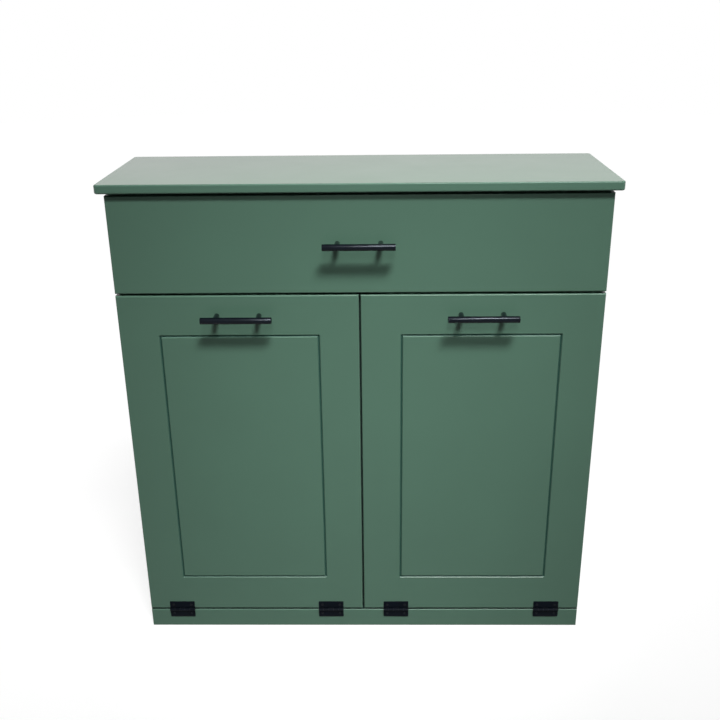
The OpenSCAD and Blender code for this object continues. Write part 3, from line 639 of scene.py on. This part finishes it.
bpy.ops.mesh.primitive_cylinder_add(vertices=64, radius=bar_radius, depth=bar_length,
                                    location=bar_middle, rotation=(0.0, QUARTER, 0.0))
drawer_bar = settle("drawer_turned_bar")
pick("EDGE", lambda edge: on_plane(edge, 0, bar_low.x) or on_plane(edge, 0, bar_high.x))
bpy.ops.mesh.bevel(offset=BAR_ROUND, segments=4, affect="EDGES")
pick("FACE", lambda face: abs(face.normal.x) > STRAIGHT and is_cap(face))
bpy.ops.mesh.inset(thickness=DISH_RIM, use_individual=True)
bpy.ops.mesh.inset(thickness=DISH_RIM, depth=-DISH_DEPTH, use_individual=True)
close_up()

# %% [markdown]
# ## Posts of the pulls
# Two short posts carry each bar. Their feet are eased and tapped for the machine screw that comes
# through the front, and their heads are milled to a saddle that fits the bar. The saddle is cut with
# the bar itself, so it fits whatever the sizes are.

# %% Posts of the drawer pull
post_low, post_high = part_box("drawer_pull_posts")
post_radius = (post_high.z - post_low.z) / 2
post_length = post_high.y - bar_middle.y
TAPPED_RADIUS = 0.0021
TAPPED_DEPTH = 0.0125
FOOT_EASE = 0.0004
post_middle = (post_low.x + post_radius, post_high.y - post_length / 2, bar_middle.z)

bpy.ops.mesh.primitive_cylinder_add(vertices=48, radius=post_radius, depth=post_length,
                                    location=post_middle, rotation=(QUARTER, 0.0, 0.0))
post = settle("drawer_left_post")
pick("EDGE", lambda edge: on_plane(edge, 1, post_high.y))
bpy.ops.mesh.bevel(offset=FOOT_EASE, segments=3, affect="EDGES")
pick("FACE", lambda face: face.normal.y > STRAIGHT and is_cap(face))
bpy.ops.mesh.inset(thickness=post_radius - FOOT_EASE - TAPPED_RADIUS)
bpy.ops.mesh.extrude_region_move(TRANSFORM_OT_translate={"value": (0.0, -TAPPED_DEPTH, 0.0)})
close_up()
cut_with(post, copy_of(drawer_bar, "saddle_cutter", (0.0, 0.0, 0.0)))
far_post = copy_of(post, "drawer_right_post", (post_high.x - post_low.x - 2 * post_radius, 0.0, 0.0))
drawer_posts = joined("drawer_turned_posts", [post, far_post])

# %% Copies for the doors
for side, body in (("left", "left_door"), ("right", "right_door")):
    door_bar_low, door_bar_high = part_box(side + "_door_pull_bar")
    shift = (door_bar_low + door_bar_high) / 2 - bar_middle
    hand_over(copy_of(drawer_bar, side + "_door_turned_bar", shift), body, pull_coat,
              side + "_door_pull_bar")
    hand_over(copy_of(drawer_posts, side + "_door_turned_posts", shift), body, pull_coat,
              side + "_door_pull_posts")
hand_over(drawer_bar, "drawer", pull_coat, "drawer_pull_bar")
hand_over(drawer_posts, "drawer", pull_coat, "drawer_pull_posts")

# %% [markdown]
# ## Hinge leaves
# A butt hinge leaf is stamped from sheet: a plate with two countersunk holes, and tongues that are
# rolled round the pin. Extruding a thin strip away from the pin gives the plate. Spinning the ends of
# the tongues round the pin rolls the knuckles just as the press does, and leaves the real one's seam.

# %% Sizes of a hinge, read from the frame
door_leaf_low, door_leaf_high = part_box("left_hinge_door_leaves")
pin_low, pin_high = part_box("hinge_pins")
pin_y = (pin_low.y + pin_high.y) / 2
pin_z = (pin_low.z + pin_high.z) / 2
pin_radius = (pin_high.z - pin_low.z) / 2
LEAF_LENGTH = 0.0508
LEAF_THICKNESS = 0.0014
LEAF_CORNER = 0.0015
LEAF_EASE = 0.0002
KNUCKLES = 5
KNUCKLE_GAP = 0.0001
ROLL_CLEAR = 0.0004
ROLL_ANGLE = math.radians(288)
ROLL_STEPS = 24
barrel_radius = pin_y - door_leaf_low.y
leaf_back = door_leaf_high.y
leaf_front = leaf_back - LEAF_THICKNESS
leaf_reach = door_leaf_high.z - pin_z
print("barrel", round(barrel_radius * 1000, 2), "mm, leaf", round(leaf_reach * 1000, 2), "mm")

# %% The plate of a leaf
def plate_of_leaf(name, x, way):
    """The flat part of a leaf whose middle is at x, above the pin for way 1 and below it for way -1."""
    near = pin_z + way * (barrel_radius + ROLL_CLEAR)
    far = pin_z + way * leaf_reach
    bpy.ops.mesh.primitive_plane_add(size=1.0, location=(x, (leaf_front + leaf_back) / 2, near))
    bpy.context.object.scale = (LEAF_LENGTH, LEAF_THICKNESS, 1.0)
    plate = settle(name)
    bpy.ops.mesh.select_all(action="SELECT")
    bpy.ops.mesh.extrude_region_move(TRANSFORM_OT_translate={"value": (0.0, 0.0, far - near)})
    pick("EDGE", lambda edge: on_plane(edge, 2, far) and
         (on_plane(edge, 0, x - LEAF_LENGTH / 2) or on_plane(edge, 0, x + LEAF_LENGTH / 2)))
    bpy.ops.mesh.bevel(offset=LEAF_CORNER, segments=6, affect="EDGES")
    pick("EDGE", lambda edge: on_plane(edge, 1, leaf_front) and not on_plane(edge, 2, near))
    bpy.ops.mesh.bevel(offset=LEAF_EASE, segments=2, affect="EDGES")
    return plate, near


print("plate ready")


# %% The knuckles of a leaf
def roll_knuckles(x, near, way, owned):
    """Draws out the owned tongues of the plate that is open in edit mode and rolls them round the pin."""
    step = LEAF_LENGTH / KNUCKLES
    ends = [x - LEAF_LENGTH / 2 + index * step for index in range(KNUCKLES + 1)]
    for end in ends[1:-1]:
        for side in (-1, 1):
            bpy.ops.mesh.select_all(action="SELECT")
            bpy.ops.mesh.bisect(plane_co=(end + side * KNUCKLE_GAP / 2, 0.0, 0.0), plane_no=(1.0, 0.0, 0.0))

    def is_tongue(face, z):
        middle = face.calc_center_median()
        flat = all(abs(vertex.co.z - z) < TINY for vertex in face.verts)
        inside = any(ends[index] + KNUCKLE_GAP < middle.x < ends[index + 1] - KNUCKLE_GAP for index in owned)
        return flat and inside

    pick("FACE", lambda face: is_tongue(face, near))
    bpy.ops.mesh.extrude_region_move(TRANSFORM_OT_translate={"value": (0.0, 0.0, pin_z - near)})
    bpy.ops.mesh.spin(steps=ROLL_STEPS, angle=ROLL_ANGLE, center=(x, pin_y, pin_z), axis=(-way, 0.0, 0.0))


print("knuckles ready")


# %% The screw holes of a leaf
HEAD_RADIUS = 0.0027
SHANK_RADIUS = 0.0014
HOLE_CLEAR = 0.00015
SCREW_FROM_END = 0.0074
screw_x = LEAF_LENGTH / 2 - SCREW_FROM_END
screw_z = (leaf_reach + barrel_radius) / 2


def countersink(piece, x, z):
    """Cuts one countersunk hole through a leaf, from its front."""
    deep = HEAD_RADIUS - SHANK_RADIUS
    bpy.ops.mesh.primitive_cone_add(vertices=32, depth=deep + 2 * HOLE_CLEAR,
                                    radius1=HEAD_RADIUS + 2 * HOLE_CLEAR, radius2=SHANK_RADIUS + HOLE_CLEAR,
                                    location=(x, leaf_front + deep / 2, z), rotation=(-QUARTER, 0.0, 0.0))
    cutter = settle("countersink_cutter")
    pick("FACE", lambda face: face.normal.y > STRAIGHT)
    bpy.ops.mesh.extrude_region_move(TRANSFORM_OT_translate={"value": (0.0, LEAF_THICKNESS, 0.0)})
    close_up()
    cut_with(piece, cutter)


def make_leaf(name, x, way, owned):
    """A whole leaf with its knuckles and its two holes."""
    leaf, near = plate_of_leaf(name, x, way)
    roll_knuckles(x, near, way, owned)
    close_up()
    for side in (-1, 1):
        countersink(leaf, x + side * screw_x, pin_z + way * screw_z)
    return leaf


print("screws at", round(screw_x * 1000, 2), "and", round(screw_z * 1000, 2), "mm from the middle")

# %% [markdown]
# ## Eight leaves from two
# One door leaf and one rail leaf are modelled as patterns, and the eight in place are copies of them
# with meshes of their own. The door leaves ride on their doors, and the rail leaves stay with the case.

# %% Place the leaves
hinge_x = {}
for side in ("left", "right"):
    low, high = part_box(side + "_hinge_door_leaves")
    hinge_x[side] = (low.x + LEAF_LENGTH / 2, high.x - LEAF_LENGTH / 2)

first_x = hinge_x["left"][0]
door_leaf = make_leaf("door_leaf", first_x, 1, (1, 3))
rail_leaf = make_leaf("rail_leaf", first_x, -1, (0, 2, 4))
for side in ("left", "right"):
    for leaf, body, node in ((door_leaf, side + "_door", side + "_hinge_door_leaves"),
                             (rail_leaf, "case", side + "_hinge_rail_leaves")):
        pair = [copy_of(leaf, leaf.name + "_copy", (x - first_x, 0.0, 0.0)) for x in hinge_x[side]]
        leaves = joined(side + "_rolled_" + leaf.name.replace("leaf", "leaves"), pair)
        hand_over(leaves, body, hinge_coat, node)
for leaf in (door_leaf, rail_leaf):
    bpy.data.objects.remove(leaf)

# %% [markdown]
# ## Hinge pins
# A loose length of wire holds the two leaves together. Its ends are headed to a low dome, which a
# bevel of each rim gives.

# %% Hinge pins
pin_length = 2 * (pin_high.x - hinge_x["right"][1])
PIN_DOME = 0.0006
bpy.ops.mesh.primitive_cylinder_add(vertices=24, radius=pin_radius, depth=pin_length,
                                    location=(first_x, pin_y, pin_z), rotation=(0.0, QUARTER, 0.0))
first_pin = settle("hinge_pin")
pin_ends = (first_x - pin_length / 2, first_x + pin_length / 2)
pick("EDGE", lambda edge: any(on_plane(edge, 0, end) for end in pin_ends))
bpy.ops.mesh.bevel(offset=PIN_DOME, segments=5, affect="EDGES")
close_up()
pins = [first_pin]
for x in (hinge_x["left"][1],) + hinge_x["right"]:
    pins.append(copy_of(first_pin, "hinge_pin_copy", (x - first_x, 0.0, 0.0)))
hand_over(joined("domed_hinge_pins", pins), "case", hinge_coat, "hinge_pins")

# %% [markdown]
# ## Wood screws
# Countersunk screws hold the hinges, the slides and the top. Each starts as the disc of its head:
# shrinking and extruding the face away from the driver gives the cone, the shank and the point. The
# cross for the driver is cut with a small star whose four arms are drawn out of one block.

# %% The driver's cross
CROSS_SPAN = 0.50
CROSS_SLOT = 0.13
CROSS_DEPTH = 0.20
CROSS_TAPER = 0.6
SLANTED = 0.5


def cross_cutter(head_d):
    """A four-armed star for a head of this diameter, standing half way through the plane z = 0."""
    slot = head_d * CROSS_SLOT
    bpy.ops.mesh.primitive_cube_add(size=1.0, location=(0.0, 0.0, 0.0))
    bpy.context.object.scale = (slot, slot, 2 * head_d * CROSS_DEPTH)
    cutter = settle("cross_cutter")
    pick("FACE", lambda face: abs(face.normal.z) < SLANTED)
    bpy.ops.mesh.extrude_faces_move(TRANSFORM_OT_shrink_fatten={"value": head_d * CROSS_SPAN / 2 - slot / 2})
    pick("FACE", lambda face: face.normal.z > SLANTED)
    bpy.ops.transform.resize(value=(CROSS_TAPER, CROSS_TAPER, 1.0))
    close_up()
    return cutter


print("cross cutter ready")


# %% A countersunk screw
TIP_LENGTH = 0.003
TIP_SHARE = 0.12


def wood_screw(name, head_d, shank_d, length):
    """A countersunk screw along +Z with its head's face at z = 0."""
    cone = (head_d - shank_d) / 2
    bpy.ops.mesh.primitive_cylinder_add(vertices=32, radius=head_d / 2, depth=cone,
                                        location=(0.0, 0.0, cone / 2))
    screw = settle(name)
    pick("FACE", lambda face: face.normal.z > STRAIGHT)
    bpy.ops.transform.resize(value=(shank_d / head_d, shank_d / head_d, 1.0))
    for rise, share in ((length - cone - TIP_LENGTH, 1.0), (TIP_LENGTH, TIP_SHARE)):
        bpy.ops.mesh.extrude_region_move(TRANSFORM_OT_translate={"value": (0.0, 0.0, rise)})
        bpy.ops.transform.resize(value=(share, share, 1.0))
    close_up()
    cut_with(screw, cross_cutter(head_d))
    return screw


print("screw ready")


# %% Put screws in place
def place_copy(piece, name, spot, turn):
    """A copy of a piece, turned about the origin, moved to its spot, and applied."""
    twin = copy_of(piece, name, (0.0, 0.0, 0.0))
    twin.rotation_euler = turn
    twin.location = spot
    bpy.ops.object.transform_apply(location=True, rotation=True, scale=True)
    return twin


def screw_set(name, pattern, spots, turn):
    """Copies of one screw at all spots, turned alike and joined."""
    return joined(name, [place_copy(pattern, name + "_copy", spot, turn) for spot in spots])


INTO_FRONT = (-QUARTER, 0.0, 0.0)
HINGE_SCREW_LENGTH = 0.014
hinge_screw = wood_screw("hinge_screw", 2 * HEAD_RADIUS, 2 * SHANK_RADIUS, HINGE_SCREW_LENGTH)


def hinge_screw_spots(side, way):
    """The four places of a door's hinge screws: way 1 for the door leaves and -1 for the rail leaves."""
    z = pin_z + way * screw_z
    return [(x + end * screw_x, leaf_front, z) for x in hinge_x[side] for end in (-1, 1)]


rail_spots = hinge_screw_spots("left", -1) + hinge_screw_spots("right", -1)
rail_screws = screw_set("rail_hinge_screws", hinge_screw, rail_spots, INTO_FRONT)
hand_over(rail_screws, "case", hinge_coat, "hinge_rail_screws")

# %% [markdown]
# ## Machine screws of the pulls
# Behind each front, a pan head with a cross is turned into each post. Bevelling one rim of a disc
# rounds the pan, and the shank is drawn out of the flat face on its other side.

# %% A pan head screw
PAN_ROUND = 0.0009


def pan_screw(name, head_d, head_t, shank_d, length):
    """A pan head machine screw: its shank runs along +Z from z = 0, and its head lies below."""
    bpy.ops.mesh.primitive_cylinder_add(vertices=32, radius=head_d / 2, depth=head_t,
                                        location=(0.0, 0.0, -head_t / 2))
    screw = settle(name)
    pick("EDGE", lambda edge: on_plane(edge, 2, -head_t))
    bpy.ops.mesh.bevel(offset=PAN_ROUND, segments=5, affect="EDGES")
    pick("FACE", lambda face: face.normal.z > STRAIGHT and is_cap(face))
    bpy.ops.mesh.inset(thickness=(head_d - shank_d) / 2)
    bpy.ops.mesh.extrude_region_move(TRANSFORM_OT_translate={"value": (0.0, 0.0, length)})
    close_up()
    star = cross_cutter(head_d)
    cutter = place_copy(star, "cross_cutter_low", (0.0, 0.0, -head_t), (0.0, 0.0, 0.0))
    bpy.data.objects.remove(star)
    cut_with(screw, cutter)
    return screw


print("pan head ready")

# %% Screws of the doors
MACHINE_D = 0.004
PAN_D = 0.008
PAN_T = 0.0024
THREAD_IN_POST = 0.012
OUT_OF_FRONT = (QUARTER, 0.0, 0.0)
front_face = leaf_back
door_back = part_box("left_door_panel")[1].y
door_screw_length = door_back - front_face + THREAD_IN_POST
door_pull_screw = pan_screw("door_pull_screw", PAN_D, PAN_T, MACHINE_D, door_screw_length)
half_span = (post_high.x - post_low.x) / 2 - post_radius
for side in ("left", "right"):
    low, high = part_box(side + "_door_pull_bar")
    middle = (low + high) / 2
    pull_spots = [(middle.x + end * half_span, door_back, middle.z) for end in (-1, 1)]
    hinge_set = screw_set(side + "_hinge_set", hinge_screw, hinge_screw_spots(side, 1), INTO_FRONT)
    pull_set = screw_set(side + "_pull_set", door_pull_screw, pull_spots, OUT_OF_FRONT)
    fixings = joined(side + "_door_fixings", [hinge_set, pull_set])
    hand_over(fixings, side + "_door", hinge_coat, side + "_door_screws")

# %% [markdown]
# ## Plated screws inside
# Zinc plated screws hold the slides to the case and to the drawer, and the top to its rails. They are
# seen only when the drawer is out, but a shop would use the same patterns for them, so they are
# the same two screws in other sizes.

# %% Screws of the slides
slide_low, slide_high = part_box("slide_case_screws")
slide_z = (slide_low.z + slide_high.z) / 2
slide_ys = (slide_low.y + HEAD_RADIUS, (slide_low.y + slide_high.y) / 2, slide_high.y - HEAD_RADIUS)
POINTING = {-1: (0.0, -QUARTER, 0.0), 1: (0.0, QUARTER, 0.0)}
SLIDE_SCREW_LENGTH = 0.014


def both_sides(name, pattern, head_x, inward):
    """Three screws for the slide on each side, their heads this far from the middle."""
    sets = []
    for way in (-1, 1):
        spots = [(way * head_x, y, slide_z) for y in slide_ys]
        sets.append(screw_set(name + "_set", pattern, spots, POINTING[-way if inward else way]))
    return joined(name, sets)


slide_screw = wood_screw("slide_screw", 2 * HEAD_RADIUS, 2 * SHANK_RADIUS, SLIDE_SCREW_LENGTH)
case_set = both_sides("slide_fixings", slide_screw, slide_high.x - SLIDE_SCREW_LENGTH, False)
hand_over(case_set, "case", zinc, "slide_case_screws")

# %% Screws of the drawer
DRAWER_SCREW_LENGTH = 0.0102
drawer_screw = wood_screw("drawer_screw", 2 * HEAD_RADIUS, 2 * SHANK_RADIUS, DRAWER_SCREW_LENGTH)
member_set = both_sides("member_set", drawer_screw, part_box("drawer_screws")[1].x, True)
box_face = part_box("drawer_box_front")[1].y
long_screw_length = box_face - front_face + THREAD_IN_POST
long_pull_screw = pan_screw("long_pull_screw", PAN_D, PAN_T, MACHINE_D, long_screw_length)
pull_spots = [(end * half_span, box_face, bar_middle.z) for end in (-1, 1)]
pull_set = screw_set("drawer_pull_set", long_pull_screw, pull_spots, OUT_OF_FRONT)
hand_over(joined("drawer_fixings", [member_set, pull_set]), "drawer", zinc, "drawer_screws")

# %% Screws of the top
TOP_HEAD_D = 0.008
TOP_SHANK_D = 0.004
top_low, top_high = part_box("top_slab_screws")
in_by = TOP_HEAD_D / 2
top_spots = [(x, y, top_low.z) for x in (top_low.x + in_by, 0.0, top_high.x - in_by)
             for y in (top_low.y + in_by, top_high.y - in_by)]
top_screw = wood_screw("top_screw", TOP_HEAD_D, TOP_SHANK_D, top_high.z - top_low.z)
hand_over(screw_set("top_fixings", top_screw, top_spots, (0.0, 0.0, 0.0)), "case", zinc,
          "top_slab_screws")
for pattern in (hinge_screw, door_pull_screw, slide_screw, drawer_screw, long_pull_screw, top_screw):
    bpy.data.objects.remove(pattern)

# %% [markdown]
# ## Floor and background
# A plain pale floor carries the cabinet's shadow. It fades to the white of the world with distance,
# so that no horizon shows. The world is white to the camera and to shiny surfaces, but weaker as a
# lamp, so that the paint keeps its written colour.

# %% What shows the background
WHITE = (1.0, 1.0, 1.0, 1.0)


def is_seen(tree):
    """Gives 1 to the camera, shiny surfaces and glass, and 0 to rays that only gather light."""
    light_path = tree.nodes.new("ShaderNodeLightPath").outputs
    seen = calc(tree, "MAXIMUM", light_path["Is Glossy Ray"], light_path["Is Transmission Ray"])
    return calc(tree, "MAXIMUM", light_path["Is Camera Ray"], seen)


print("background shows to camera, glossy and transmission rays")

# %% Floor
FLOOR_RADIUS = 9.0
FLOOR_DROP = 0.0005
FLOOR_TONE = (0.25, 0.25, 0.25, 1.0)
FADE_STARTS = 0.6
FADE_ENDS = 1.8
NEAR_GLOW = 0.78
bpy.ops.mesh.primitive_circle_add(vertices=96, radius=FLOOR_RADIUS, fill_type="NGON",
                                  location=(0.0, 0.0, -FLOOR_DROP))
floor = bpy.context.object
floor.name = "pale_floor"
bpy.ops.object.transform_apply(location=True, rotation=True, scale=True)
material, tree, shader, place = new_material("pale_floor")
distance = put(tree, "ShaderNodeVectorMath", {0: place["Object"]}, operation="LENGTH").outputs["Value"]
far_share = remap(tree, distance, FADE_STARTS, FADE_ENDS, 0.0, 1.0)
glow = calc(tree, "MULTIPLY_ADD", far_share, 1.0 - NEAR_GLOW, NEAR_GLOW)
shader.inputs["Base Color"].default_value = FLOOR_TONE
shader.inputs["Roughness"].default_value = 1.0
shader.inputs["Specular IOR Level"].default_value = 0.0
shader.inputs["Emission Color"].default_value = WHITE
tree.links.new(calc(tree, "MULTIPLY", is_seen(tree), glow), shader.inputs["Emission Strength"])
floor.data.materials.append(material)
print("floor", 2 * FLOOR_RADIUS, "m across")

# %% World
AMBIENT = 0.05
world = bpy.data.worlds.new("white_studio")
bpy.context.scene.world = world
world.use_nodes = True
sky = world.node_tree
background = sky.nodes["Background"].inputs
background["Color"].default_value = WHITE
sky.links.new(remap(sky, is_seen(sky), 0.0, 1.0, AMBIENT, 1.0), background["Strength"])
print("ambient share", AMBIENT)

# %% [markdown]
# ## Lamps
# The shadows under the pulls tell where the light came from: a strong lamp high in front, a little to
# the right, and a weaker one lower down behind the camera. Both have narrow grids, so the light falls
# off a little towards the sides, as it does on the real one. Three lamps at the sides and behind only
# fill the other views and don't reach the front. Those at the sides are weak and stand level with the
# drawer's slides, because to a raised camera the flat zinc of an open slide would mirror a lower or
# stronger lamp as a white patch.

# %% Lamps
def area_lamp(name, location, target, width, height, watts, spread):
    """A soft flat lamp at a place, turned towards a point, with the spread of its grid in degrees."""
    lamp_data = bpy.data.lights.new(name, "AREA")
    lamp_data.shape = "RECTANGLE"
    lamp_data.size = width
    lamp_data.size_y = height
    lamp_data.energy = watts
    lamp_data.spread = math.radians(spread)
    lamp = bpy.data.objects.new(name, lamp_data)
    bpy.context.scene.collection.objects.link(lamp)
    lamp.location = location
    lamp.rotation_euler = (Vector(target) - Vector(location)).to_track_quat("-Z", "Y").to_euler()


area_lamp("high_lamp", (0.72, -2.10, 4.10), (0.06, -0.13, 0.62), width=1.60, height=0.55,
          watts=9.4, spread=27.0)
area_lamp("low_lamp", (0.12, -2.60, 2.60), (0.08, -0.13, 0.40), width=0.60, height=0.40,
          watts=0.8, spread=22.0)
FILL_TARGET = (0.0, 0.1, 0.5)
SIDE_FILL = {"width": 0.60, "height": 0.26, "watts": 4.0, "spread": 120.0}
area_lamp("left_fill", (-2.6, 0.7, 0.76), FILL_TARGET, **SIDE_FILL)
area_lamp("right_fill", (2.6, 0.7, 0.76), FILL_TARGET, **SIDE_FILL)
area_lamp("back_fill", (0.0, 2.7, 0.35), FILL_TARGET, width=0.60, height=0.60, watts=9.0, spread=120.0)
